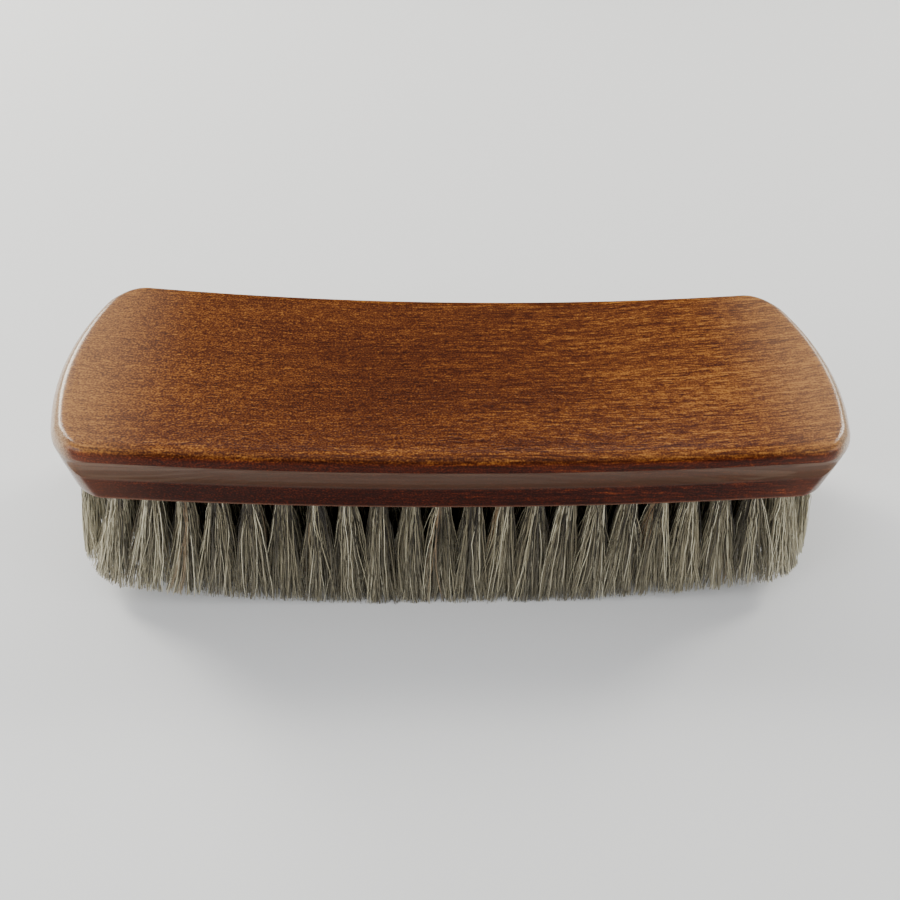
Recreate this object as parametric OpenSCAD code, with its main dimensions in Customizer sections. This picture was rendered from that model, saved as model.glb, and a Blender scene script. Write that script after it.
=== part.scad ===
// Shoe shine brush: a saddle-shaped beech block with finger grooves, and rows of hair tufts set in its underside.
// Millimetres. X runs along the brush, Y across it, Z up. The brush stands on its bristle tips at Z = 0.

/* [Block] */
// Length of the wooden block
block_length = 172; // [160:1:190]
// Width of the wooden block over its upper lips
block_width = 57; // [52:0.5:64]
// Thickness of the wood between its top and its underside
block_thickness = 15.2; // [13.5:0.1:19]
// How far the middle of the top lies below its two ends
saddle_depth = 4.4; // [2:0.1:7]
// Radius of the bowed ends, seen from above
end_radius = 70; // [55:1:100]
// Radius of the four corners, seen from above
corner_radius = 10.5; // [7:0.5:14]
// Slope of the end faces, which draw in towards the bristles, in degrees
end_draft = 5; // [0:0.5:8]
// Rounding of the upper edge at the ends
end_round = 4; // [1:0.1:4]

/* [Long sides] */
// Height of the upper lip, from the top to the finger groove
upper_lip = 3.4; // [2.6:0.1:4.5]
// Rounding of the long upper edges
lip_round = 1.8; // [0.5:0.1:2.4]
// Height of the finger groove's mouth
groove_height = 5.5; // [4:0.1:6.5]
// Radius of the finger groove's hollow
groove_radius = 3.3; // [3.3:0.1:5]
// How far the lower lip stands back from the upper one
lower_lip_inset = 1.1; // [0:0.1:2]
// Rounding of the long lower edges
lower_round = 0.7; // [0.2:0.1:1.2]

/* [Tuft holes] */
// Distance between the rows of tufts, along the brush
row_pitch = 6.9; // [6.5:0.1:9]
// Distance between the tufts of one row, across the brush
tuft_pitch = 7.8; // [7:0.1:10]
// Diameter of a tuft hole
hole_diameter = 4.4; // [3.4:0.1:4.8]
// Depth of a tuft hole
hole_depth = 8.5; // [7:0.1:10]
// Least wood between a tuft hole and the block's edge
edge_wood = 1.4; // [1.2:0.1:4]

/* [Backing strips] */
// Width of the strip of the underside that joins the tufts of one row
strip_width = 5.2; // [4.9:0.1:6]
// Thickness of that strip, which lies flush in the underside
strip_thickness = 1; // [0.8:0.1:2]

/* [Anchors] */
// Length of the flat wire anchor, which bites into the wood on both sides of its hole
anchor_length = 5.6; // [5:0.1:6.4]
// Height of the anchor, along the hole
anchor_height = 1.8; // [1:0.1:2.4]
// Thickness of the anchor's wire
anchor_thickness = 0.5; // [0.3:0.05:0.8]
// Thickness of the hair folded over the anchor, at the bottom of the hole
fold_thickness = 1.1; // [0.6:0.1:1.6]

/* [Bristles] */
// Height of the underside above the ground, in the middle of the brush
bristle_length = 30; // [20:0.5:36]
// How much higher the tips are at the block's ends than in the middle
tip_rise = 9; // [3:0.5:12]
// Depth of the flat on which the tips stand
tip_flat = 0.5; // [0.2:0.1:1]
// How far the tufts at the ends lean outward, at their tips
end_splay = 3.6; // [0:0.1:6]
// How far the tufts along the sides lean outward, at their tips
side_splay = 4.5; // [0:0.1:7]
// Distance of a strand from its tuft's axis, where it leaves the wood
fan_root = 1.15; // [1:0.05:1.3]
// Distance of a strand from its tuft's axis, at its tip
fan_tip = 2.1; // [1.6:0.05:2.2]
// Half the width of a strand where it leaves the wood
strand_root = 0.8; // [0.4:0.05:0.85]
// Half the width of a strand at its tip
strand_tip = 1.1; // [0.4:0.05:1.15]

/* [Fits] */
// Gap between a piece and the wood or hair that it sits in
fit_gap = 0.05; // [0.02:0.01:0.15]

/* [Hidden] */
half_length = block_length / 2;
half_width = block_width / 2;
hole_radius = hole_diameter / 2;
cut_past = 1;

// Radius of the saddle's top, its centre above the brush, and the radius of the underside round the same centre
saddle_radius = (half_length * half_length + saddle_depth * saddle_depth) / (2 * saddle_depth);
saddle_centre = bristle_length + block_thickness + saddle_radius;
under_radius = saddle_radius + block_thickness;
saddle_angle = asin(half_length / saddle_radius) + 1;
end_top = bristle_length + block_thickness + saddle_depth;

// Centres of the end arc and of the corner arcs, which touch the end arc and the side
end_centre = half_length - end_radius;
corner_y = half_width - corner_radius;
corner_x = end_centre + sqrt(pow(end_radius - corner_radius, 2) - corner_y * corner_y);
corner_angle = atan2(corner_y, corner_x - end_centre);
draft_height = end_top - end_round;
end_inset = (draft_height - bristle_length - saddle_depth) * tan(end_draft);

// The groove's circle runs through the edges of both lips
groove_chord = norm([groove_height, lower_lip_inset]);
groove_offset = sqrt(groove_radius * groove_radius - groove_chord * groove_chord / 4);
groove_centre = [
    upper_lip + groove_height / 2 + groove_offset * lower_lip_inset / groove_chord,
    half_width - lower_lip_inset / 2 + groove_offset * groove_height / groove_chord
];

// The tufts stand wherever their holes keep edge_wood of wood round them
lower_half_width = half_width - lower_lip_inset;
hole_margin = hole_radius + edge_wood;
rows_each_side = floor((half_length - end_inset - hole_margin) / row_pitch + 0.5);
row_count = 2 * rows_each_side;
lines_each_side = floor((lower_half_width - hole_margin) / tuft_pitch);
last_line = lines_each_side * tuft_pitch;
strands_per_tuft = 3;

function row_x(row) = (row - (row_count + 1) / 2) * row_pitch;
function clear_of_end(x, y) =
    norm([abs(x) - end_centre, y]) + hole_margin <= end_radius - end_inset;
function clear_of_corner(x, y) =
    abs(x) < corner_x || abs(y) < corner_y
    || norm([abs(x) - corner_x, abs(y) - corner_y]) + hole_margin <= corner_radius - end_inset;
function holds_tuft(x, y) = clear_of_end(x, y) && clear_of_corner(x, y);
function line_ys() = [for (line = [-lines_each_side:lines_each_side]) line * tuft_pitch];
function row_ys(x) = [for (y = line_ys()) if (holds_tuft(x, y)) y];
function last_row_x(y) = max([for (row = [1:row_count]) if (holds_tuft(row_x(row), y)) row_x(row)]);

// The tips follow an arc along the brush, cut flat where it reaches the ground
tip_radius = (half_length * half_length + tip_rise * tip_rise) / (2 * tip_rise);
function tip_height(x) = max(0, tip_radius - sqrt(tip_radius * tip_radius - x * x) - tip_flat);

// A row stands square to the bent underside, so its frame turns round the saddle's centre
function row_angle(x) = asin(x / under_radius);
function in_row_frame(x, point) = [
    point.x * cos(row_angle(x)) + (under_radius - point.z) * sin(row_angle(x)),
    point.y,
    saddle_centre + point.x * sin(row_angle(x)) - (under_radius - point.z) * cos(row_angle(x))
];

// The strands of a tuft stand in a triangle, mirrored from one quarter of the brush to the next
function side_of(value) = value < 0 ? -1 : 1;
function strand_way(x, y, strand) = [
    side_of(x) * cos(90 + 360 * strand / strands_per_tuft),
    side_of(y) * sin(90 + 360 * strand / strands_per_tuft)
];
function strand_start(x, y, strand) =
    let (way = strand_way(x, y, strand) * fan_root)
    in_row_frame(x, [way.x, y + way.y, strip_thickness / 2]);
function strand_end(x, y, strand) =
    let (way = strand_way(x, y, strand) * fan_tip)
    let (tip_x = x + end_splay * pow(x / last_row_x(y), 3) + way.x)
    let (tip_y = y + side_splay * pow(y / last_line, 3) + way.y)
    [tip_x, tip_y, tip_height(tip_x)];

function numbered(name, row) = str(name, row < 10 ? "_0" : "_", row);

// Half of the block's cross section: first coordinate down from the top, second across from the middle
module half_section() {
    difference() {
        union() {
            square([block_thickness, lower_half_width - lower_round]);
            square([block_thickness - lower_round, lower_half_width]);
            translate([block_thickness - lower_round, lower_half_width - lower_round])
                circle(r = lower_round, $fn = 48);
            square([upper_lip + groove_height / 2, half_width - lip_round]);
            translate([lip_round, 0])
                square([upper_lip + groove_height / 2 - lip_round, half_width]);
            translate([lip_round, half_width - lip_round])
                circle(r = lip_round, $fn = 48);
        }
        translate(groove_centre)
            circle(r = groove_radius, $fn = 96);
        translate([upper_lip, half_width])
            square([groove_height, groove_radius]);
    }
}

module section() {
    half_section();
    mirror([0, 1])
        half_section();
}

// The long moulding, bent round the saddle's centre
module moulding() {
    translate([0, 0, saddle_centre])
        rotate([90, 0, 0])
            rotate([0, 0, -90 - saddle_angle])
                rotate_extrude(angle = 2 * saddle_angle, $fn = 360)
                    translate([saddle_radius, 0])
                        section();
}

// A disc of the given radius whose wall has the rounding and the draft of the block's ends
module end_disc(radius) {
    base = bristle_length - cut_past;
    base_radius = radius - (draft_height - base) * tan(end_draft);
    rotate_extrude($fn = 180)
        union() {
            polygon([[0, base], [base_radius, base], [radius, draft_height], [0, draft_height]]);
            translate([0, draft_height - cut_past])
                square([radius - end_round, end_round + cut_past]);
            intersection() {
                translate([radius - end_round, draft_height])
                    circle(r = end_round, $fn = 96);
                translate([0, draft_height])
                    square([radius, end_round]);
            }
        }
}

// One bowed end of the plan, with its two rounded corners
module plan_end() {
    reach = 2 * end_radius;
    translate([end_centre, 0, 0])
        intersection() {
            end_disc(end_radius);
            linear_extrude(end_top + cut_past)
                polygon([
                    [0, 0],
                    [reach * cos(corner_angle), -reach * sin(corner_angle)],
                    [reach, 0],
                    [reach * cos(corner_angle), reach * sin(corner_angle)]
                ]);
        }
    for (side = [-1, 1])
        translate([corner_x, side * corner_y, 0])
            end_disc(corner_radius);
}

// The outline of the block seen from above, as a solid taller than the block
module plan() {
    plan_end();
    mirror([1, 0, 0])
        plan_end();
    translate([-corner_x, -half_width, bristle_length - cut_past])
        cube([2 * corner_x, block_width, end_top - bristle_length + 2 * cut_past]);
}

// Puts a piece at the underside of the block, square to it, with its own Z up into the wood
module at_row(x) {
    translate([0, 0, saddle_centre])
        rotate([0, -row_angle(x), 0])
            translate([0, 0, -under_radius])
                children();
}

// The strip shape that joins the tufts of a row, grown by the given gap to make its groove
module strip(x, bottom, gap) {
    reach = max(row_ys(x));
    height = strip_thickness + gap - bottom;
    translate([0, 0, bottom]) {
        translate([-strip_width / 2 - gap, -reach, 0])
            cube([strip_width + 2 * gap, 2 * reach, height]);
        for (side = [-1, 1])
            translate([0, side * reach, 0])
                cylinder(r = strip_width / 2 + gap, h = height, $fn = 48);
    }
}

// The anchor's bar across its hole, grown by the given gap to make its seat
module anchor_bar(gap) {
    size = [anchor_thickness, anchor_length, anchor_height] + 2 * gap * [1, 1, 1];
    translate([0, 0, hole_depth - fold_thickness - anchor_height / 2])
        cube(size, center = true);
}

// One strand of hair: four sides, closed at both ends, all faces triangles
module strand(start, end) {
    corners = [[1, 0, 0], [0, 1, 0], [-1, 0, 0], [0, -1, 0]];
    polyhedron(
        points = concat(
            [for (corner = corners) start + strand_root * corner],
            [for (corner = corners) end + strand_tip * corner]
        ),
        faces = concat(
            [[2, 1, 0], [3, 2, 0], [4, 5, 6], [4, 6, 7]],
            [for (side = [0:3]) [side, (side + 1) % 4, (side + 1) % 4 + 4]],
            [for (side = [0:3]) [side, (side + 1) % 4 + 4, side + 4]]
        )
    );
}

module block() {
    color([0.47, 0.26, 0.13])
        difference() {
            intersection() {
                moulding();
                plan();
            }
            for (row = [1:row_count])
                at_row(row_x(row)) {
                    strip(row_x(row), -cut_past, fit_gap);
                    for (y = row_ys(row_x(row)))
                        translate([0, y, 0]) {
                            cylinder(r = hole_radius, h = hole_depth, $fn = 32);
                            anchor_bar(fit_gap);
                        }
                }
        }
}

// The tufts of one row: their folded ends in the holes, a slice of the backing, and the strands fused to it
module tuft_row(row) {
    x = row_x(row);
    color([0.45, 0.42, 0.35]) {
        at_row(x) {
            strip(x, 0, 0);
            for (y = row_ys(x))
                translate([0, y, 0])
                    difference() {
                        cylinder(r = hole_radius - fit_gap, h = hole_depth - fit_gap, $fn = 32);
                        anchor_bar(fit_gap);
                    }
        }
        for (y = row_ys(x), index = [1:strands_per_tuft])
            strand(strand_start(x, y, index), strand_end(x, y, index));
    }
}

// The flat wire anchors of one row, driven across the bottoms of the holes
module anchor_row(row) {
    x = row_x(row);
    color([0.72, 0.72, 0.74])
        at_row(x)
            for (y = row_ys(x))
                translate([0, y, 0])
                    anchor_bar(0);
}

block();
for (row = [1:row_count]) {
    tuft_row(row);
    anchor_row(row);
}
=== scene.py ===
import math

import bmesh
import bpy
import numpy as np
from mathutils import Matrix, Vector, geometry


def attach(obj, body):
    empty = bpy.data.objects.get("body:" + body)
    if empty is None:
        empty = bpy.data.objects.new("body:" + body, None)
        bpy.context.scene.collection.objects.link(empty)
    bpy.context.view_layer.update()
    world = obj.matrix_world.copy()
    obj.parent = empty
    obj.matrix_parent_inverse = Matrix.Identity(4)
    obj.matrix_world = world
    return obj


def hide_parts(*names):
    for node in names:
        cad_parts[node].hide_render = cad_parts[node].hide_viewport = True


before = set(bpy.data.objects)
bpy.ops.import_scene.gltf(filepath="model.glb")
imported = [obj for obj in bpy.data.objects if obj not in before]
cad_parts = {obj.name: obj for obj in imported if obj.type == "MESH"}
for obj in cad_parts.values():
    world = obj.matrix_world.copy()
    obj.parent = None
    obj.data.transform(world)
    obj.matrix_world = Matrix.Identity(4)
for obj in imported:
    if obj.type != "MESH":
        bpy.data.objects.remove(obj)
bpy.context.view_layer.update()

# Lengths here are millimetres in the frame of the construction, and MM brings them to Blender's metres
MM = 0.001

# The block. Its ends are a little rounder and more tapered than those of its solid
HALF_LENGTH = 86.0
HALF_WIDTH = 28.5
THICKNESS = 15.2
SADDLE_DEPTH = 4.4
END_RADIUS = 70.0
CORNER_RADIUS = 10.5
SIDE_DRAFT = math.tan(math.radians(5))
END_DRAFT = math.tan(math.radians(7))
END_ROUND = 4.8
UPPER_LIP = 3.4
LIP_ROUND = 1.8
GROOVE_HEIGHT = 5.5
GROOVE_RADIUS = 3.3
LOWER_LIP_INSET = 1.1
LOWER_ROUND = 0.7
UPPER_EDGE_EASE = 0.3
RIDGE_EASE = 0.8
CREST_EASE = 0.7
ROUNDING_TILTS = (0, 8, 16, 20, 24, 28, 34, 42, 50, 58, 66, 74, 82, 90)
PATCH_SPACING = 3.0
PATCH_CLEARANCE = 0.6
JOIN_DISTANCE = 0.002
SHARP_ANGLE = math.radians(40)

# The tufts and their holes
ROW_PITCH = 6.9
ROW_COUNT = 24
TUFT_PITCH = 7.8
HOLE_RADIUS = 2.2
HOLE_DEPTH = 8.5
HOLE_POINT_DEPTH = 0.6
HOLE_POINT_RADIUS = 0.4
HOLE_SIDES = 20
BRISTLE_LENGTH = 30.0
TIP_RISE = 9.0
TIP_FLAT = 0.5
END_SPLAY = 3.6
SIDE_SPLAY = 4.5

# Values that follow from these
SADDLE_RADIUS = (HALF_LENGTH**2 + SADDLE_DEPTH**2) / (2 * SADDLE_DEPTH)
SADDLE_CENTRE = BRISTLE_LENGTH + THICKNESS + SADDLE_RADIUS
UNDER_RADIUS = SADDLE_RADIUS + THICKNESS
END_TOP = BRISTLE_LENGTH + THICKNESS + SADDLE_DEPTH
DRAFT_HEIGHT = END_TOP - END_ROUND
DRAFT_DEPTH = math.hypot(HALF_LENGTH, SADDLE_CENTRE - DRAFT_HEIGHT) - SADDLE_RADIUS
END_CENTRE = HALF_LENGTH - END_RADIUS
CORNER_Y = HALF_WIDTH - CORNER_RADIUS
CORNER_X = END_CENTRE + math.sqrt((END_RADIUS - CORNER_RADIUS) ** 2 - CORNER_Y**2)
CORNER_ANGLE = math.atan2(CORNER_Y, CORNER_X - END_CENTRE)
TIP_RADIUS = (HALF_LENGTH**2 + TIP_RISE**2) / (2 * TIP_RISE)


def height_at_depth(x, depth):
    """Height of the surface that lies the given depth under the saddle's top."""
    return SADDLE_CENTRE - np.sqrt((SADDLE_RADIUS + depth) ** 2 - x**2)


def tip_height(x):
    """Height of the trimmed bristle tips along the brush."""
    return np.maximum(0, TIP_RADIUS - np.sqrt(TIP_RADIUS**2 - x**2) - TIP_FLAT)


def smoothstep(t):
    t = np.clip(t, 0, 1)
    return t * t * (3 - 2 * t)


def soft_min(a, b, ease):
    """The lower of two heights, with the edge between them eased."""
    near = np.maximum(ease - np.abs(a - b), 0) / ease
    return np.minimum(a, b) - near**2 * ease / 4


# Hair: its strands in clumps, and how far they fan out, wander and end unevenly
STRAND_MAP = "OFBake"
CLUMPS_OUTER = 30
CLUMPS_INNER = 16
STRANDS_OUTER = 11
STRANDS_INNER = 6
CLUMP_SPREAD = 0.24
CLUMP_CROSSING = 0.3
ROOT_SPREAD = 0.72
FAN_X = 4.6
FAN_Y = 4.2
CORNER_FLARE = 3.0
TRIM_X = 86.0
TRIM_Y = 31.0
TRIM_CORNER = 14.0
TRIM_RAGGED = 0.4
TIP_JITTER = 0.85
CLUMP_JITTER = 0.7
STRAY_SHARE = 0.06
STRAY_JITTER = 1.8
TIP_RAGGED = 0.35
ROOT_DEPTH = 3.0
ROOT_STIFFNESS = 0.22
STRAND_POINTS = 10
BOW = 0.4
CLUMP_BOW = 0.4
WAVE = 0.6
CRIMP = 0.12
STRAND_RADIUS = (0.06, 0.125)
INNER_THICKER = 1.8
GINGER_SHARE = 0.012
SEED = 100
GOLDEN_ANGLE = 2.39996
SPOT_JITTER = 0.06
ROOT_NARROWING = 0.95
TUFT_RAGGED = 0.25
CLUMP_RAGGED = 0.12
RAGGED_LIMITS = (0.02, 4.0)
BOW_SCALE = 6.75
WAVE_TURN = 9
CRIMP_START = 3
TIP_TAPER = 0.75
OUTER_ROWS = 3
OUTER_LINE = 2.5 * TUFT_PITCH
STRAND_WIDTH = 0.002
TONE_SCALE = 0.99

# Tones of the hair, from 0 for dark to 0.9 for pale, with the ginger ones above that
TONE_MIDDLE = 0.28
# The strands of the end rows are paler: painted light of the side lamps
END_LIGHT_TONE = 0.4
END_LIGHT_START = 65
END_LIGHT_LENGTH = 14
TUFT_TONE = 0.05
CLUMP_TONE = 0.1
STRAND_TONE = 0.35
TONE_LIMIT = 0.9
GINGER_TONES = (0.93, 1.0)
HAIR_STOPS = (
    (0.0, (0.020, 0.015, 0.009)),
    (0.3, (0.120, 0.100, 0.058)),
    (0.6, (0.380, 0.335, 0.215)),
    (0.9, (0.740, 0.690, 0.510)),
    (0.93, (0.230, 0.150, 0.080)),
    (1.0, (0.300, 0.200, 0.110)),
)
HAIR_TIPS = (0.62, 0.57, 0.42)
# Painted shade towards the roots
HAIR_ROOT_SHADE = (0.03, 0.025, 0.018)

# Colours of the wood as linear red, green and blue
STAIN_STOPS = (
    (0.1, (0.016, 0.0032, 0.0011)),
    (0.35, (0.042, 0.0090, 0.0025)),
    (0.5, (0.074, 0.0192, 0.0046)),
    (0.65, (0.130, 0.0415, 0.0084)),
    (0.9, (0.270, 0.1100, 0.0220)),
)
# Near the ends: the stain's own paler tone with a painted sheen
END_STAIN_AND_SHEEN = (0.40, 0.29, 0.19)
# Multiplied into the moulded sides: a thicker stain and painted shade
SIDE_STAIN_AND_SHADE = (1.0, 0.56, 0.52)
# The groove's painted sheen: lower, upper, near the ends, and its darker streaks
GROOVE_SHEEN_LOW = (0.084, 0.047, 0.030)
GROOVE_SHEEN_HIGH = (0.150, 0.094, 0.064)
GROOVE_SHEEN_END = (0.24, 0.165, 0.115)
GROOVE_STREAK = (0.075, 0.036, 0.022)
# Painted highlights along the upper lip's lower edge and along the bottom edge
LIP_EDGE_HIGHLIGHT = (0.19, 0.125, 0.09)
BOTTOM_EDGE_HIGHLIGHT = (0.24, 0.12, 0.075)
# A painted reflection over the ends: pale at the crest, darker over the end grain
CREST_REFLECTION = (0.38, 0.27, 0.17)
END_GRAIN_SHEEN = (0.15, 0.088, 0.052)
VARNISH_TINT = (1.0, 0.68, 0.45, 1.0)
GRAIN_WANDER = 9.0
GRAIN_SLANT = math.radians(-1.5)

# Lamps and floor, the floor's reach in metres
WARM = (1.0, 0.97, 0.88)
FLOOR_REACH = 4.0

# The camera, as it follows from the photograph's perspective: its lens,
# its place in millimetres and its angles in radians
CAMERA_LENS = 32.7
CAMERA_PLACE = (-12.7, -142.8, 162.0)
CAMERA_YAW = 0.085
CAMERA_PITCH = 0.779
CAMERA_ROLL = -0.061

# Node helpers


def add_node(tree, kind, inputs=None, **settings):
    """A shader node with its settings, and each named or numbered input as a value or as a link."""
    node = tree.nodes.new(kind)
    for name, value in settings.items():
        setattr(node, name, value)
    for name, value in (inputs or {}).items():
        if isinstance(value, bpy.types.NodeSocket):
            tree.links.new(value, node.inputs[name])
        else:
            node.inputs[name].default_value = value
    return node


def math_node(tree, operation, a, b=0.0, clamp=False):
    return add_node(tree, "ShaderNodeMath", {0: a, 1: b}, operation=operation, use_clamp=clamp).outputs[0]


def ramp_node(tree, value, stops):
    """A colour ramp with stops of (position, colour), where a colour is linear red, green and blue."""
    node = add_node(tree, "ShaderNodeValToRGB", {"Fac": value})
    ramp = node.color_ramp
    while len(ramp.elements) < len(stops):
        ramp.elements.new(1.0)
    for element, (position, colour) in zip(ramp.elements, stops):
        element.position = position
        element.color = (*colour, 1.0)
    return node.outputs["Color"]


def range_node(tree, value, low, high, to_low=0.0, to_high=1.0):
    node = add_node(
        tree,
        "ShaderNodeMapRange",
        {"Value": value, "From Min": low, "From Max": high, "To Min": to_low, "To Max": to_high},
        interpolation_type="SMOOTHSTEP",
    )
    return node.outputs["Result"]


def mix_node(tree, factor, a, b, blend="MIX"):
    node = add_node(tree, "ShaderNodeMix", {0: factor}, data_type="RGBA", blend_type=blend)
    for index, value in ((6, a), (7, b)):
        if isinstance(value, bpy.types.NodeSocket):
            tree.links.new(value, node.inputs[index])
        else:
            node.inputs[index].default_value = (*value, 1.0)
    return node.outputs[2]


def stretched_noise(tree, place, size, detail=2.0, offset=0.0):
    """Noise whose spots have the given size in millimetres along X, Y and Z."""
    scale = [1 / (MM * length) for length in size]
    scaled = add_node(
        tree,
        "ShaderNodeVectorMath",
        {0: place, 1: scale, 2: (offset, offset * 0.7, offset * 1.3)},
        operation="MULTIPLY_ADD",
    ).outputs[0]
    noise = add_node(
        tree,
        "ShaderNodeTexNoise",
        {"Vector": scaled, "Scale": 1.0, "Detail": detail, "Roughness": 0.5},
    )
    return noise.outputs["Fac"]


def new_material(name):
    """A material with an empty Principled surface, its node tree and its shader."""
    material = bpy.data.materials.new(name)
    material.use_nodes = True
    tree = material.node_tree
    return material, tree, tree.nodes["Principled BSDF"]


# Materials


def varnished_beech():
    """Beech stained red-brown: short flecks and fine pores along the grain, under a satin varnish."""
    material, tree, shader = new_material("varnished_beech")
    place = add_node(tree, "ShaderNodeTexCoord").outputs["Object"]

    def plus(a, b):
        return math_node(tree, "ADD", a, b)

    def minus(a, b):
        return math_node(tree, "SUBTRACT", a, b)

    def times(a, b):
        return math_node(tree, "MULTIPLY", a, b)

    def rise(value, start, end, low=0.0, high=1.0):
        """A smooth step from low to high between two lengths in millimetres."""
        return range_node(tree, value, start * MM, end * MM, low, high)

    def band(value, start, end, ease):
        """1 between two lengths in millimetres, and 0 outside them."""
        return minus(rise(value, start - ease, start + ease), rise(value, end - ease, end + ease))

    # The grain wanders a little, so every pattern is read at a slightly moved place
    wander = stretched_noise(tree, place, (70, 45, 45), detail=1.0)
    shift = times(minus(wander, 0.5), GRAIN_WANDER * MM)
    moved = add_node(tree, "ShaderNodeCombineXYZ", {"Y": shift, "Z": shift}).outputs[0]
    slant = add_node(
        tree,
        "ShaderNodeVectorRotate",
        {"Vector": place, "Angle": GRAIN_SLANT},
        rotation_type="Z_AXIS",
    ).outputs[0]
    grain = add_node(tree, "ShaderNodeVectorMath", {0: slant, 1: moved}, operation="ADD").outputs[0]

    broad = stretched_noise(tree, grain, (60, 16, 16), detail=2.0, offset=3.0)
    lines = stretched_noise(tree, grain, (30, 1.2, 1.2), detail=2.0, offset=11.0)
    streaks = stretched_noise(tree, grain, (8.0, 0.45, 0.45), detail=0.0, offset=7.0)
    flecks = stretched_noise(tree, grain, (1.8, 0.38, 0.38), detail=0.0, offset=5.0)
    specks = stretched_noise(tree, grain, (0.4, 0.32, 0.32), detail=0.0, offset=17.0)

    # Places on the block: x and y along and across it, and the depth under the saddle's top
    parts = add_node(tree, "ShaderNodeSeparateXYZ", {0: place})
    along = parts.outputs["X"]
    from_middle = math_node(tree, "ABSOLUTE", along)
    across = math_node(tree, "ABSOLUTE", parts.outputs["Y"])
    saddle = times(math_node(tree, "POWER", from_middle, 2.0), 1 / (2 * SADDLE_RADIUS * MM))
    saddle = plus(saddle, (BRISTLE_LENGTH + THICKNESS) * MM)
    depth = minus(saddle, parts.outputs["Z"])

    # Fine specks lead on the left, longer flecks on the right, and both stand out more towards the ends
    rightward = rise(along, -60, 60)
    figure = 0.0
    for pattern, left, right in (
        (broad, 0.3, 0.35),
        (lines, 0.22, 0.5),
        (streaks, 0.24, 0.56),
        (flecks, 0.38, 0.55),
        (specks, 0.85, 0.6),
    ):
        weight = range_node(tree, rightward, 0.0, 1.0, left, right)
        figure = plus(times(minus(pattern, 0.5), weight), figure)
    figure = times(figure, rise(from_middle, 15, 75, 0.9, 0.96))

    # The top is lighter towards both ends, in part the stain's own change and in part a painted sheen where
    # the lamps glance off the ends, and long pale streaks run along the top's rounded edges
    tone = plus(figure, 0.45)
    tone = plus(tone, rise(along, -20, -85, 0.0, 0.13))
    tone = plus(tone, rise(along, 5, 70, 0.0, 0.17))
    tone = plus(tone, rise(from_middle, 66, 84, 0.0, 0.14))
    long_streaks = stretched_noise(tree, grain, (26, 1.3, 1.3), detail=1.0, offset=23.0)
    edge = times(rise(across, HALF_WIDTH - 6, HALF_WIDTH - 1.5), rise(depth, 1.6, 0.8))
    tone = plus(tone, times(edge, range_node(tree, long_streaks, 0.47, 0.62, 0.0, 0.17)))

    # The moulded sides are darker and redder, most of all under the finger groove: in part a thicker stain,
    # in part painted shade of the sides, which turn away from the lamps
    at_end = rise(from_middle, 76, 79.5)
    side = times(band(across, HALF_WIDTH - 2.6, HALF_WIDTH + 5, 0.8), rise(depth, 0.3, 1.5))
    side = times(side, minus(1.0, at_end))
    groove_bottom = UPPER_LIP + GROOVE_HEIGHT
    lower = times(side, rise(depth, groove_bottom - 0.8, groove_bottom + 0.2))
    tone = minus(tone, times(lower, 0.11))
    tone = minus(tone, times(side, 0.11))
    tone = minus(tone, times(side, rise(from_middle, 20, 80, 0.0, 0.16)))
    colour = ramp_node(tree, tone, STAIN_STOPS)
    # Paler still near the ends: a painted sheen over the stain
    colour = mix_node(tree, rise(from_middle, 58, 84, 0.0, 0.16), colour, END_STAIN_AND_SHEEN)
    colour = mix_node(tree, side, colour, SIDE_STAIN_AND_SHADE, "MULTIPLY")

    # The groove is painted a greyish brown for the sheen of the light overhead: paler in its upper part,
    # painted lighter against the lip's shade, darker in its lower part, greyer towards the ends and with
    # darker streaks
    groove = rise(depth, UPPER_LIP, UPPER_LIP + 0.2)
    groove = times(groove, rise(depth, groove_bottom + 0.7, groove_bottom - 0.5))
    groove = times(groove, side)
    upper_part = rise(depth, UPPER_LIP + 3.6, UPPER_LIP + 1.6)
    grey = mix_node(tree, upper_part, GROOVE_SHEEN_LOW, GROOVE_SHEEN_HIGH)
    grey = mix_node(tree, rise(from_middle, 40, 80, 0.0, 0.45), grey, GROOVE_SHEEN_END)
    groove_streaks = stretched_noise(tree, grain, (30, 0.7, 0.7), detail=1.0, offset=31.0)
    grey = mix_node(tree, range_node(tree, groove_streaks, 0.42, 0.58, 0.0, 0.6), grey, GROOVE_STREAK)
    colour = mix_node(tree, times(groove, 0.8), colour, grey)

    # Painted highlights: a pale line along the upper lip's lower edge and another along the bottom edge
    edge_highlight = times(band(depth, UPPER_LIP - 0.15, UPPER_LIP + 0.2, 0.1), side)
    colour = mix_node(tree, times(edge_highlight, 0.4), colour, LIP_EDGE_HIGHLIGHT)
    edge_highlight = times(rise(depth, THICKNESS - 1.0, THICKNESS - 0.5), side)
    colour = mix_node(tree, times(edge_highlight, 0.45), colour, BOTTOM_EDGE_HIGHLIGHT)
    # Over the ends and the corners below the groove a painted reflection, pale at the crest and darker over
    # the end grain lower down, broken up by the specks
    corner = times(
        rise(across, HALF_WIDTH - 1.2, HALF_WIDTH - 1.6),
        rise(depth, groove_bottom - 0.3, groove_bottom + 0.3),
    )
    end_face = math_node(tree, "MAXIMUM", at_end, corner)
    end_face = times(end_face, band(depth, 0.15, THICKNESS - 0.25, 0.1))
    end_sheen_share = times(end_face, range_node(tree, specks, 0.3, 0.7, 0.4, 0.9))
    end_sheen_colour = mix_node(tree, rise(depth, 2.0, 6.0), CREST_REFLECTION, END_GRAIN_SHEEN)
    colour = mix_node(tree, end_sheen_share, colour, end_sheen_colour)
    tree.links.new(colour, shader.inputs["Base Color"])

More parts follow.
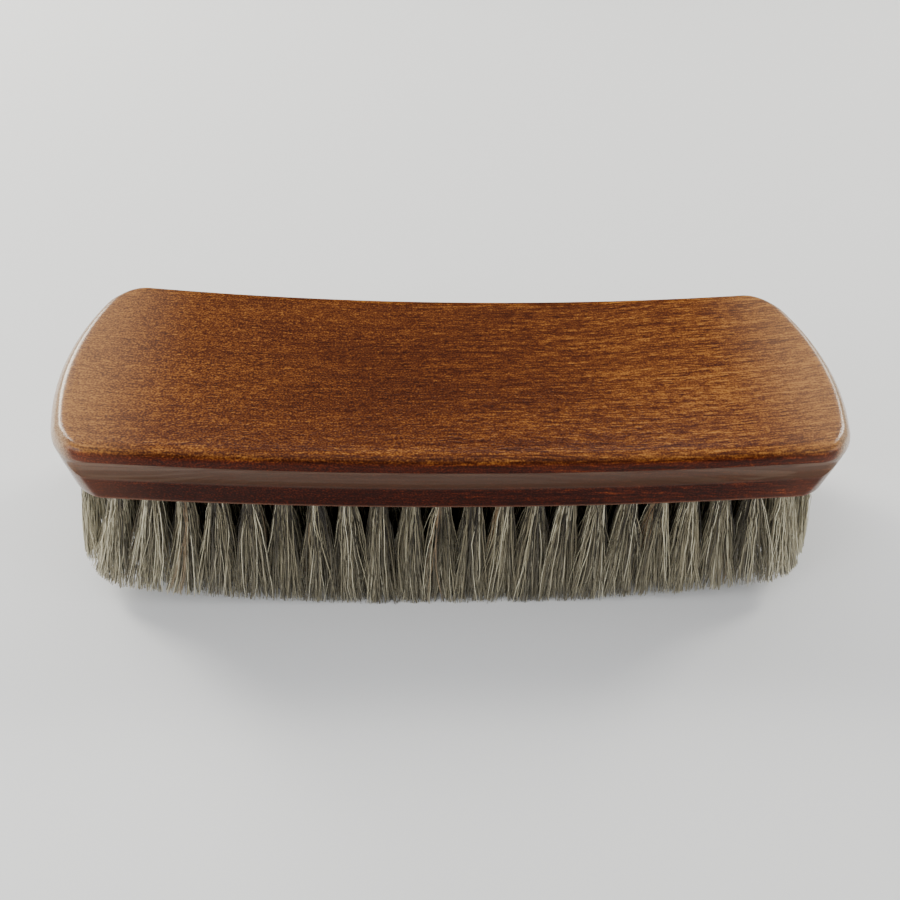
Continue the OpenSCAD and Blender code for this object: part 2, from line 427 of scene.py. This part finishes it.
    # The varnish lies thin over the open grain, so that flecks and specks still show in its gloss
    relief = plus(times(flecks, 0.6), times(specks, 0.6))
    for socket, strength in (("Normal", 0.3), ("Coat Normal", 0.34)):
        inputs = {"Height": relief, "Strength": strength, "Distance": 0.1 * MM}
        bump = add_node(tree, "ShaderNodeBump", inputs)
        tree.links.new(bump.outputs[0], shader.inputs[socket])
    tree.links.new(range_node(tree, flecks, 0.3, 0.7, 0.36, 0.5), shader.inputs["Roughness"])
    shader.inputs["Specular IOR Level"].default_value = 0.05
    shader.inputs["Specular Tint"].default_value = VARNISH_TINT

    # The varnish is thin on the moulded sides, thicker in the groove and thickest round the ends
    outside = rise(across, HALF_WIDTH - 3.4, HALF_WIDTH - 2.0)
    coat = minus(0.45, times(outside, 0.32))
    coat = plus(coat, times(groove, 0.3))
    coat = math_node(tree, "ADD", coat, times(end_face, 0.5), clamp=True)
    tree.links.new(coat, shader.inputs["Coat Weight"])
    shader.inputs["Coat IOR"].default_value = 1.5
    shader.inputs["Coat Roughness"].default_value = 0.16
    return material


def brush_hair():
    """Natural grey-brown hair. The strands' map holds each strand's tone across, and root to tip along."""
    material, tree, shader = new_material("brush_hair")
    strand = add_node(tree, "ShaderNodeUVMap", uv_map=STRAND_MAP).outputs["UV"]
    parts = add_node(tree, "ShaderNodeSeparateXYZ", {0: strand})
    tone = parts.outputs["X"]
    along = parts.outputs["Y"]
    colour = ramp_node(tree, tone, HAIR_STOPS)
    colour = mix_node(tree, range_node(tree, along, 0.4, 1.0, 0.0, 0.18), colour, HAIR_TIPS)
    # Darker towards the roots: painted shade under the block and between the tufts
    colour = mix_node(tree, range_node(tree, along, 0.45, 0.05, 0.0, 0.35), colour, HAIR_ROOT_SHADE)
    tree.links.new(colour, shader.inputs["Base Color"])
    shader.inputs["Roughness"].default_value = 0.42
    shader.inputs["IOR"].default_value = 1.5
    return material


def anchor_wire():
    """Flat drawn steel wire, with fine lines along its length."""
    material, tree, shader = new_material("anchor_wire")
    place = add_node(tree, "ShaderNodeTexCoord").outputs["Object"]
    lines = stretched_noise(tree, place, (0.12, 4.0, 0.12), detail=2.0)
    colour = mix_node(tree, lines, (0.42, 0.42, 0.44), (0.62, 0.62, 0.64))
    tree.links.new(colour, shader.inputs["Base Color"])
    tree.links.new(range_node(tree, lines, 0.3, 0.7, 0.28, 0.42), shader.inputs["Roughness"])
    shader.inputs["Metallic"].default_value = 1.0
    return material


def plain_floor():
    material, _, shader = new_material("plain_floor")
    shader.inputs["Base Color"].default_value = (0.72, 0.73, 0.74, 1.0)
    shader.inputs["Roughness"].default_value = 0.9
    return material


# Meshes


def mesh_object(name, mesh, material):
    mesh.materials.append(material)
    piece = bpy.data.objects.new(name, mesh)
    bpy.context.scene.collection.objects.link(piece)
    return piece


def arc(centre, radius, start, end, count):
    """Points on an arc from one direction to another, in degrees, with the first point left out."""
    angles = np.radians(np.linspace(start, end, count + 1)[1:])
    return [(centre[0] + radius * math.cos(a), centre[1] + radius * math.sin(a)) for a in angles]


def moulding_levels():
    """The long side's section from its upper rounding down to the underside, as depths with distances from
    the middle."""
    lower_face = HALF_WIDTH - LOWER_LIP_INSET
    chord = math.hypot(GROOVE_HEIGHT, LOWER_LIP_INSET)
    offset = math.sqrt(GROOVE_RADIUS**2 - chord**2 / 4)
    groove = (
        UPPER_LIP + GROOVE_HEIGHT / 2 + offset * LOWER_LIP_INSET / chord,
        HALF_WIDTH - LOWER_LIP_INSET / 2 + offset * GROOVE_HEIGHT / chord,
    )

    def ease_centre(face, ease, way):
        across = face - ease - groove[1]
        return (groove[0] + way * math.sqrt((GROOVE_RADIUS + ease) ** 2 - across**2), face - ease)

    def direction(start, end):
        return math.degrees(math.atan2(end[1] - start[1], end[0] - start[0]))

    upper = ease_centre(HALF_WIDTH, UPPER_EDGE_EASE, -1)
    ridge = ease_centre(lower_face, RIDGE_EASE, 1)
    lower_start = THICKNESS - LOWER_ROUND
    points = [(depth, HALF_WIDTH) for depth in np.linspace(LIP_ROUND, upper[0], 4)[1:]]
    points += arc(upper, UPPER_EDGE_EASE, 90, direction(upper, groove), 4)
    points += arc(groove, GROOVE_RADIUS, direction(groove, upper), direction(groove, ridge), 16)
    points += arc(ridge, RIDGE_EASE, direction(ridge, groove), 90, 6)
    points += [(depth, lower_face) for depth in np.linspace(ridge[0], lower_start, 5)[1:]]
    points += arc((lower_start, lower_face - LOWER_ROUND), LOWER_ROUND, 90, 0, 6)
    return points


# Columns of points round a quarter of the plan, as shares of its side, its corner and its end
SIDE_COLUMNS = np.concatenate([np.linspace(0, 0.95, 26), [0.975, 0.99, 1.0]])
CORNER_COLUMNS = np.concatenate([[0.03, 0.08], np.linspace(0.15, 1, 13)])
END_COLUMNS = np.linspace(0, 1, 15)[1:]
BEND_SHARE = 0.75

# How far each column has passed from the form of the side, 0, to that of the end, 1
BEND = np.concatenate(
    [
        np.zeros(len(SIDE_COLUMNS)),
        smoothstep(CORNER_COLUMNS / BEND_SHARE),
        np.ones(len(END_COLUMNS)),
    ]
)


def quarter(side_y, inset):
    """A quarter of the plan's outline, from the middle of the side to the middle of the end.
    side_y is where the side lies, and inset how far each point of the corner and the end is drawn in."""
    inset = np.broadcast_to(inset, BEND.shape)
    first = len(SIDE_COLUMNS)
    radius = CORNER_RADIUS - inset
    turn = math.asin(min(1.0, (side_y - CORNER_Y) / radius[first - 1]))
    crease_x = CORNER_X + radius[first - 1] * math.cos(turn)
    side = np.stack([SIDE_COLUMNS * crease_x, np.full(first, side_y)], axis=1)
    angles = turn + (CORNER_ANGLE - turn) * CORNER_COLUMNS
    corner_radius = radius[first : first + len(angles)]
    corner = np.stack(
        [CORNER_X + corner_radius * np.cos(angles), CORNER_Y + corner_radius * np.sin(angles)], axis=1
    )
    angles = CORNER_ANGLE * (1 - END_COLUMNS)
    end_radius = END_RADIUS - inset[-len(angles) :]
    end = np.stack([END_CENTRE + end_radius * np.cos(angles), end_radius * np.sin(angles)], axis=1)
    return np.concatenate([side, corner, end])


def whole_loop(points):
    """The closed loop of a quarter's points, mirrored to all four quarters."""
    back = points[:-1][::-1]
    half = np.concatenate([points, back * [1, -1, 1]])
    return np.concatenate([half, (half[1:-1] * [-1, 1, 1])[::-1]])


def rounding_loop(tilt):
    """The loop round the top edge where the surface has tilted by that angle, from 0 on top to 90 degrees."""
    radius = LIP_ROUND + (END_ROUND - LIP_ROUND) * BEND
    inset = radius * (1 - math.sin(tilt))
    outline = quarter(HALF_WIDTH - inset[0], inset)
    top = height_at_depth(outline[:, 0], 0)
    start = (top - LIP_ROUND) * (1 - BEND) + DRAFT_HEIGHT * BEND
    height = soft_min(top, start + radius * math.cos(tilt), CREST_EASE * np.sqrt(BEND) + 1e-6)
    return whole_loop(np.column_stack([outline, height]))


def wall_loop(depth, side_y):
    """The loop round the block at a depth under the top, where the long side's section reaches side_y."""
    share = (depth - LIP_ROUND) / (THICKNESS - LIP_ROUND)
    end_depth = DRAFT_DEPTH + share * (THICKNESS - DRAFT_DEPTH)
    depths = depth * (1 - BEND) + end_depth * BEND
    below = max(0.0, depth - (THICKNESS - LOWER_ROUND))
    ease = LOWER_ROUND - math.sqrt(LOWER_ROUND**2 - below**2)
    draft = SIDE_DRAFT + (END_DRAFT - SIDE_DRAFT) * BEND
    outline = quarter(side_y, 0.0)

    # The draft depends on the height and the height on the place, so a few rounds settle both
    for _ in range(4):
        heights = height_at_depth(outline[:, 0], depths)
        inset = np.maximum(DRAFT_HEIGHT - heights, 0) * draft + ease
        outline = quarter(side_y, inset)
    return whole_loop(np.column_stack([outline, height_at_depth(outline[:, 0], depths)]))


def filled(loop, holes, depth):
    """Triangles that fill a loop of points round the given holes, on the surface at that depth."""
    points = [Vector(point[:2]) for point in loop]
    edges = [(i, (i + 1) % len(points)) for i in range(len(points))]
    for hole in holes:
        start = len(points)
        points += [Vector(point[:2]) for point in hole]
        edges += [(start + i, start + (i + 1) % len(hole)) for i in range(len(hole))]
    rim = np.array(points)
    reach = loop.max(axis=0)
    for x in np.arange(-reach[0], reach[0], PATCH_SPACING):
        for y in np.arange(-reach[1], reach[1], PATCH_SPACING):
            if np.hypot(rim[:, 0] - x, rim[:, 1] - y).min() > PATCH_SPACING * PATCH_CLEARANCE:
                points.append(Vector((x, y)))
    made = geometry.delaunay_2d_cdt(points, edges, [], 2, 1e-6)
    flat = np.array([tuple(v) for v in made[0]])
    heights = height_at_depth(flat[:, 0], depth)
    return np.column_stack([flat, heights]), made[2]


def row_x(row):
    return (row - (ROW_COUNT + 1) / 2) * ROW_PITCH


def row_ys(row):
    """The places of a row's tufts across the brush. The rows at the two ends hold five."""
    lines = 2 if row in (1, ROW_COUNT) else 3
    return [line * TUFT_PITCH for line in range(-lines, lines + 1)]


def in_row_frame(x, points):
    """Brings points to the brush's frame from a row's own, which stands square to the bent underside."""
    angle = math.asin(x / UNDER_RADIUS)
    points = np.asarray(points, float)
    reach = UNDER_RADIUS - points[..., 2]
    return np.stack(
        [
            points[..., 0] * math.cos(angle) + reach * math.sin(angle),
            points[..., 1],
            SADDLE_CENTRE + points[..., 0] * math.sin(angle) - reach * math.cos(angle),
        ],
        axis=-1,
    )


def hole_rings(x, y):
    """Rings of a blind hole, from its mouth in the underside to its bottom."""
    angles = np.linspace(0, 2 * math.pi, HOLE_SIDES, endpoint=False)
    circle = np.stack([np.cos(angles), np.sin(angles), np.zeros(HOLE_SIDES)], axis=1)
    rings = []
    section = (
        (0.0, HOLE_RADIUS),
        (HOLE_DEPTH, HOLE_RADIUS),
        (HOLE_DEPTH + HOLE_POINT_DEPTH, HOLE_POINT_RADIUS),
    )
    for depth, radius in section:
        rings.append(in_row_frame(x, circle * radius + [0, y, depth]))
    mouth = rings[0]
    mouth[:, 2] = height_at_depth(mouth[:, 0], THICKNESS)
    return rings


def make_block(material):
    """The wooden block: its moulded and rounded outside, its underside and the blind holes of the tufts."""
    loops = [rounding_loop(tilt) for tilt in np.radians(ROUNDING_TILTS)]
    loops += [wall_loop(depth, y) for depth, y in moulding_levels()]
    vertices = []
    faces = []

    def add_grid(rings):
        start = sum(len(v) for v in vertices)
        count = len(rings[0])
        vertices.extend(rings)
        for level in range(len(rings) - 1):
            upper = start + level * count
            for i in range(count):
                j = (i + 1) % count
                faces.append((upper + i, upper + j, upper + count + j, upper + count + i))

    def add_patch(points, triangles):
        start = sum(len(v) for v in vertices)
        vertices.append(points)
        faces.extend([tuple(start + i for i in triangle) for triangle in triangles])

    add_grid(loops)
    add_patch(*filled(loops[0], [], 0.0))
    holes = [hole_rings(row_x(row), y) for row in range(1, ROW_COUNT + 1) for y in row_ys(row)]
    add_patch(*filled(loops[-1], [rings[0] for rings in holes], THICKNESS))
    for rings in holes:
        add_grid(rings)
        start = sum(len(v) for v in vertices)
        vertices.append(rings[-1])
        faces.append(tuple(start + i for i in range(HOLE_SIDES)))

    mesh = bpy.data.meshes.new("block")
    mesh.from_pydata((np.concatenate(vertices) * MM).tolist(), [], faces)
    join_patches(mesh)
    return mesh_object("wooden_block", mesh, material)


def join_patches(mesh):
    """Joins patches where they meet, turns all faces outward and keeps only real edges sharp."""
    shape = bmesh.new()
    shape.from_mesh(mesh)
    bmesh.ops.remove_doubles(shape, verts=shape.verts, dist=JOIN_DISTANCE * MM)
    bmesh.ops.recalc_face_normals(shape, faces=shape.faces)
    for face in shape.faces:
        face.smooth = True
    for edge in shape.edges:
        edge.smooth = edge.calc_face_angle(0.0) < SHARP_ANGLE
    shape.to_mesh(mesh)
    shape.free()


# Hair


def tubes(paths, radii, turns):
    """Closed four-sided tubes along paths, as strands by points by xyz, with a radius at each point."""
    way = np.gradient(paths, axis=1)
    way /= np.linalg.norm(way, axis=2, keepdims=True)
    reference = np.stack([np.cos(turns), np.sin(turns), np.zeros(len(turns))], axis=1)[:, None]
    side = np.cross(way, reference)
    side /= np.linalg.norm(side, axis=2, keepdims=True)
    across = np.cross(way, side)
    ring = np.stack([side, across, -side, -across], axis=2)
    vertices = paths[:, :, None] + radii[:, :, None, None] * ring
    count, length = paths.shape[:2]
    this = np.arange(4)
    following = (this + 1) % 4
    step = np.arange(length - 1)[:, None] * 4
    quads = [step + this, step + following, step + 4 + following, step + 4 + this]
    quads = np.stack(quads, axis=-1).reshape(-1, 4)
    caps = np.array([[3, 2, 1, 0], [0, 1, 2, 3]]) + np.array([[0], [4 * (length - 1)]])
    one = np.concatenate([quads, caps])
    faces = (np.arange(count) * 4 * length)[:, None, None] + one
    return vertices.reshape(-1, 3), faces.reshape(-1, 4)


def quad_mesh(name, vertices, quads):
    mesh = bpy.data.meshes.new(name)
    mesh.vertices.add(len(vertices))
    mesh.vertices.foreach_set("co", np.asarray(vertices, np.float32).ravel())
    mesh.loops.add(quads.size)
    mesh.loops.foreach_set("vertex_index", quads.astype(np.int32).ravel())
    mesh.polygons.add(len(quads))
    mesh.polygons.foreach_set("loop_start", np.arange(0, quads.size, 4, dtype=np.int32))
    mesh.polygons.foreach_set("use_smooth", np.ones(len(quads), bool))
    mesh.update(calc_edges=True)
    return mesh


def strand_map(mesh, quads, tones, length):
    """Lays each strand in the map: its tone across, with a narrow width, and root to tip along."""
    place = np.arange(4 * length)
    across = np.tile(place % 4 * STRAND_WIDTH, len(tones)) + np.repeat(tones * TONE_SCALE, 4 * length)
    along = np.tile(place // 4 / (length - 1), len(tones))
    corners = np.stack([across, along], axis=1)[quads.ravel()]
    layer = mesh.uv_layers.new(name=STRAND_MAP)
    layer.data.foreach_set("uv", corners.astype(np.float32).ravel())


def splayed(place, last, splay):
    return place + splay * (place / last) ** 3


def trimmed(tips, slack):
    """Draws tips in to the trimmed outline, a rectangle with rounded corners, less some slack."""
    middle = np.array([TRIM_X, TRIM_Y]) - TRIM_CORNER
    outward = np.maximum(np.abs(tips) - middle, 0)
    reach = np.linalg.norm(outward, axis=1)
    limit = np.minimum(reach, TRIM_CORNER - slack)
    inner = np.minimum(np.abs(tips), middle)
    return np.sign(tips) * (inner + outward * (limit / np.maximum(reach, 1e-9))[:, None])


def last_row_x(y):
    """Place of the last row that holds a tuft on that line along the brush."""
    return row_x(ROW_COUNT if abs(y) < OUTER_LINE else ROW_COUNT - 1)


def tuft_strands(rng, row, y):
    """Paths, radii, tones and turns of one tuft's strands, in clumps that fan out from the hole."""
    x = row_x(row)
    outer = abs(y) > OUTER_LINE or min(row, ROW_COUNT + 1 - row) <= OUTER_ROWS
    clumps, strands = (CLUMPS_OUTER, STRANDS_OUTER) if outer else (CLUMPS_INNER, STRANDS_INNER)
    count = clumps * strands

    def spots(number):
        """Places spread evenly over a disc of radius 1."""
        index = np.arange(number) + 0.5
        angle = index * GOLDEN_ANGLE + rng.uniform(0, 2 * math.pi)
        return np.sqrt(index / number)[:, None] * np.stack([np.cos(angle), np.sin(angle)], axis=1)

    clump = np.repeat(np.arange(clumps), strands)
    clump_spots = spots(clumps) + rng.normal(0, SPOT_JITTER, (clumps, 2))
    root_spots = clump_spots + rng.normal(0, CLUMP_CROSSING, (clumps, 2))
    spread = root_spots[clump] + rng.normal(0, CLUMP_SPREAD, (count, 2))
    length = np.linalg.norm(spread, axis=1, keepdims=True)
    spread = spread / np.maximum(length, 1.0)
    root = spread * (HOLE_RADIUS - 0.1) * ROOT_SPREAD
    tip = clump_spots * [FAN_X, FAN_Y] + rng.normal(0, CLUMP_JITTER, (clumps, 2))
    tip = tip[clump] + rng.normal(0, TIP_JITTER, (count, 2))
    stray = rng.random(count) < STRAY_SHARE
    tip += stray[:, None] * rng.normal(0, STRAY_JITTER, (count, 2))

    flare = END_SPLAY + CORNER_FLARE * (y / (3 * TUFT_PITCH)) ** 2
    last_y = row_ys(row)[-1]
    centre = np.array([splayed(x, last_row_x(y), flare), splayed(y, last_y, SIDE_SPLAY)])
    tip_x, tip_y = trimmed(centre + tip, rng.exponential(TRIM_RAGGED, count)).T
    ragged = rng.exponential(TIP_RAGGED, count) + abs(rng.normal(0, TUFT_RAGGED))
    ragged = ragged + rng.normal(0, CLUMP_RAGGED, clumps)[clump]
    ends = np.stack([tip_x, tip_y, tip_height(tip_x) + np.clip(ragged, *RAGGED_LIMITS)], axis=1)
    inside = np.column_stack([root * ROOT_NARROWING, np.full(count, ROOT_DEPTH)])
    inside = in_row_frame(x, inside + [0, y, 0])
    mouth = in_row_frame(x, np.column_stack([root, np.zeros(count)]) + [0, y, 0])

    # From the hole's mouth a strand runs out almost straight, a little bowed and waved, with a fine crimp
    t = np.linspace(0, 1, STRAND_POINTS)[None, :, None]
    axis = mouth - inside
    axis /= np.linalg.norm(axis, axis=1, keepdims=True)
    reach = np.linalg.norm(ends - mouth, axis=1)[:, None, None]
    control = mouth[:, None] + axis[:, None] * reach * ROOT_STIFFNESS
    paths = (1 - t) ** 2 * mouth[:, None] + 2 * t * (1 - t) * control + t**2 * ends[:, None]
    bow = rng.normal(0, 1, (count, 1, 3)) * BOW
    bow = bow + rng.normal(0, 1, (clumps, 1, 3))[clump] * CLUMP_BOW
    wave = rng.normal(0, WAVE, (count, 1, 3))
    wave = wave * np.sin(t * WAVE_TURN + rng.uniform(0, 6, (count, 1, 1))) * t * (1 - t)
    crimp = rng.normal(0, CRIMP, (count, STRAND_POINTS, 3)) * np.minimum(t * CRIMP_START, 1)
    for sideways in (bow, wave, crimp):
        sideways[..., 2] = 0
    paths = paths + bow * BOW_SCALE * t**2 * (1 - t) + wave + crimp
    paths = np.concatenate([inside[:, None], paths], axis=1)

    thick = rng.uniform(*STRAND_RADIUS, (count, 1)) * (1 if outer else INNER_THICKER)
    taper = np.concatenate([[1.0], np.linspace(1.0, TIP_TAPER, STRAND_POINTS)])[None]
    tuft_tone = rng.normal(0, TUFT_TONE)
    clump_tone = rng.normal(0, CLUMP_TONE, clumps)[clump]
    # Strands towards the ends are made paler: painted light of the side lamps
    end_light = END_LIGHT_TONE * max(0.0, (abs(x) - END_LIGHT_START) / END_LIGHT_LENGTH)
    tones = TONE_MIDDLE + end_light + tuft_tone + clump_tone + rng.normal(0, STRAND_TONE, count)
    ginger = rng.random(clumps) < GINGER_SHARE
    tones = np.where(ginger[clump], rng.uniform(*GINGER_TONES, count), np.clip(tones, 0, TONE_LIMIT))
    return paths, thick * taper, tones, rng.uniform(0, math.pi, count)


def make_tuft_row(row, material):
    """All the hair of one row, as one mesh that stands for the row's tufts."""
    rng = np.random.default_rng(SEED + row)
    tufts = [tuft_strands(rng, row, y) for y in row_ys(row)]
    paths, radii, tones, turns = [np.concatenate(parts) for parts in zip(*tufts)]
    vertices, quads = tubes(paths, radii, turns)
    name = f"hair_row_{row:02d}"
    mesh = quad_mesh(name, vertices * MM, quads)
    strand_map(mesh, quads, tones, paths.shape[1])
    return mesh_object(name, mesh, material)


# Scene


def place_camera():
    """The photograph's camera: a wide view from the front, a hand's length above the brush."""
    data = bpy.data.cameras.new("camera")
    data.sensor_width = 36.0
    data.lens = CAMERA_LENS
    data.clip_start = 0.01
    camera = bpy.data.objects.new("camera", data)
    bpy.context.scene.collection.objects.link(camera)
    forward = Vector(
        (
            math.sin(CAMERA_YAW) * math.cos(CAMERA_PITCH),
            math.cos(CAMERA_YAW) * math.cos(CAMERA_PITCH),
            -math.sin(CAMERA_PITCH),
        )
    )
    level = Vector((math.cos(CAMERA_YAW), -math.sin(CAMERA_YAW), 0))
    down = forward.cross(level)
    right = math.cos(CAMERA_ROLL) * level + math.sin(CAMERA_ROLL) * down
    below = -math.sin(CAMERA_ROLL) * level + math.cos(CAMERA_ROLL) * down
    turn = Matrix((right, -below, -forward)).transposed()
    camera.matrix_world = Matrix.Translation(Vector(CAMERA_PLACE) * MM) @ turn.to_4x4()
    bpy.context.scene.camera = camera


def soft_box(name, azimuth, elevation, distance, size, glow, colour=(1, 1, 1)):
    """A soft box seen from the brush at that azimuth and elevation in degrees, where 0 is the back and 90 the
    right. Its distance and size are in millimetres, and glow is its face's brightness, 1 for white paper."""
    data = bpy.data.lights.new(name, "AREA")
    data.shape = "RECTANGLE"
    data.size = size[0] * MM
    data.size_y = size[1] * MM
    data.energy = glow * math.pi * data.size * data.size_y
    data.color = colour
    lamp = bpy.data.objects.new(name, data)
    bpy.context.scene.collection.objects.link(lamp)
    turn = math.radians(azimuth)
    rise = math.radians(elevation)
    way = Vector((math.sin(turn) * math.cos(rise), math.cos(turn) * math.cos(rise), math.sin(rise)))
    place = way * distance + Vector((0, 0, BRISTLE_LENGTH))
    lamp.matrix_world = Matrix.Translation(place * MM) @ way.to_track_quat("Z", "Y").to_matrix().to_4x4()


def make_world():
    """A studio that is pale overhead and on the camera's side, and dark behind the brush."""
    world = bpy.data.worlds.new("studio")
    bpy.context.scene.world = world
    world.use_nodes = True
    tree = world.node_tree
    way = add_node(tree, "ShaderNodeTexCoord").outputs["Generated"]
    parts = add_node(tree, "ShaderNodeSeparateXYZ", {0: way})
    front = range_node(tree, parts.outputs["Y"], 0.25, -0.1)
    overhead = range_node(tree, parts.outputs["Z"], 0.75, 0.92)
    colour = mix_node(tree, front, (0.15, 0.15, 0.16), (0.38, 0.38, 0.38))
    colour = mix_node(tree, math_node(tree, "MULTIPLY", overhead, front), colour, (1.6, 1.6, 1.6))
    tree.links.new(colour, tree.nodes["Background"].inputs["Color"])


def make_floor(material):
    mesh = bpy.data.meshes.new("floor")
    corners = [(x * FLOOR_REACH, y * FLOOR_REACH, 0) for x, y in ((-1, -1), (1, -1), (1, 1), (-1, 1))]
    mesh.from_pydata(corners, [], [(0, 1, 2, 3)])
    floor = mesh_object("floor", mesh, material)


place_camera()
make_world()
soft_box("key", -8, 68, 1000, (900, 600), 2.0)
soft_box("back_left", -38, 38, 1000, (560, 420), 0.4)
soft_box("back_right", 46, 38, 1000, (480, 420), 0.4)
soft_box("rim_left", -42, 23, 1000, (360, 260), 15.0, WARM)
soft_box("corner_left", -53, 40, 1000, (220, 400), 26.0, WARM)
soft_box("rim_right", 44, 20, 1000, (280, 200), 6.0, WARM)
soft_box("corner_right", 58, 36, 1000, (220, 340), 22.0, WARM)
soft_box("side_left", -118, 18, 450, (200, 160), 8.0)
soft_box("side_right", 112, 15, 450, (200, 160), 5.5)
soft_box("front_left", -128, 32, 1000, (360, 360), 3.6)
soft_box("front_low", -172, 8, 1000, (800, 200), 1.0)
make_floor(plain_floor())

block = make_block(varnished_beech())
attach(block, "root")
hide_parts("block")

hair = brush_hair()
wire = anchor_wire()
for row in range(1, ROW_COUNT + 1):
    tufts = make_tuft_row(row, hair)
    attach(tufts, "root")
    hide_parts(f"tuft_row_{row:02d}")
    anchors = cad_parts[f"anchor_row_{row:02d}"]
    anchors.data.materials.clear()
    anchors.data.materials.append(wire)
